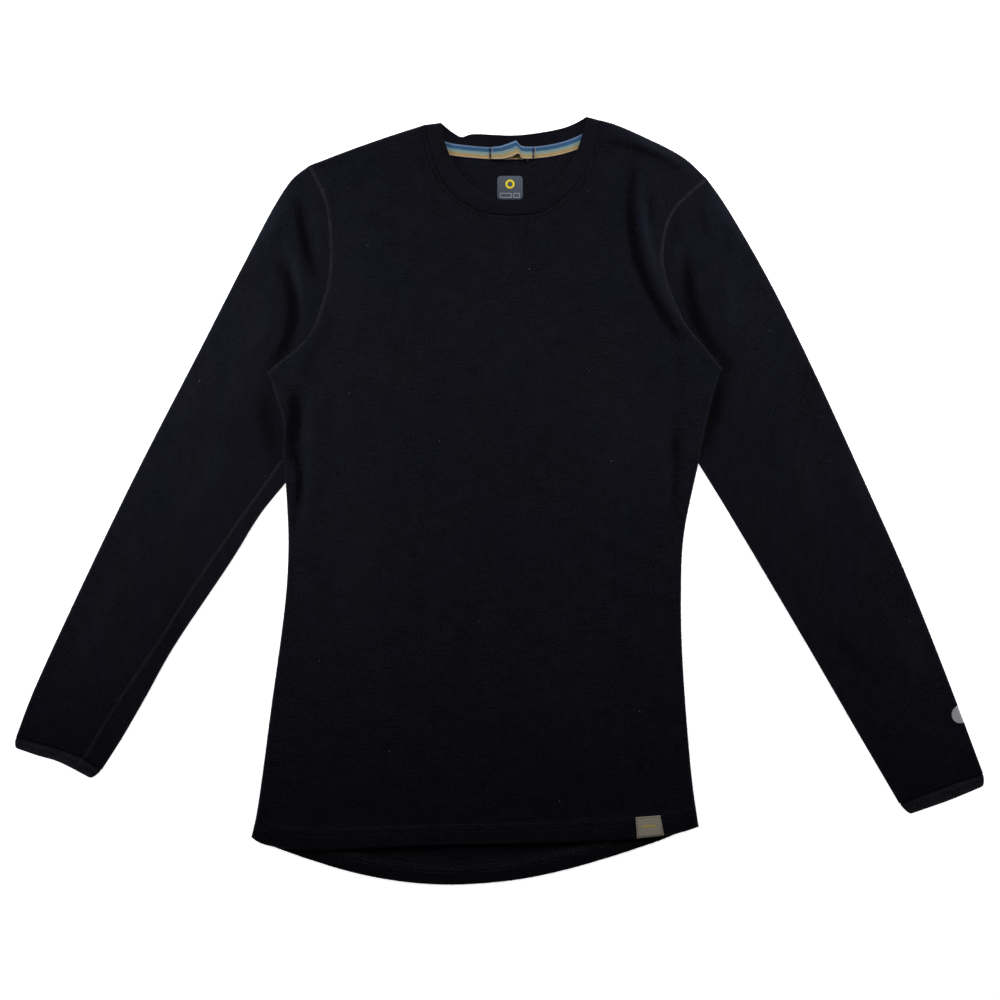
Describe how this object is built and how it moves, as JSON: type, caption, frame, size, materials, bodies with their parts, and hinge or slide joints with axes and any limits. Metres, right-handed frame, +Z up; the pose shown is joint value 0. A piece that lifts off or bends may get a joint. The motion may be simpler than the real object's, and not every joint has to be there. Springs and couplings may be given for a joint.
{
  "type": "base layer top",
  "caption": "Long-sleeved crew-neck base layer top of fine dark jersey, laid flat with its front upwards, with a dropped back hem and a striped tape inside the neck.",
  "frame": {"origin": "middle of the laid garment's outline, on the surface that it lies on", "axes": "+X from the wearer's right sleeve to the left one, +Y towards the neck, +Z up out of the garment's front"},
  "size_m": [0.969, 0.7676, 0.0076],
  "materials": {
    "jersey": "fine brushed wool jersey, black heather, matt",
    "tape": "woven herringbone tape, striped blue, teal, sand and orange",
    "label": "smooth slate transfer on jersey",
    "tag": "taupe woven tag with a fine twill"
  },
  "bodies": {
    "root": {"back_panel": "jersey", "front_panel": "jersey", "sleeve_left": "jersey", "sleeve_right": "jersey", "cuff_left": "jersey", "cuff_right": "jersey", "neckband": "jersey", "neck_tape": "tape", "hang_loop": "tape", "neck_label": "label", "hem_tag": "tag"}
  },
  "joints": []
}
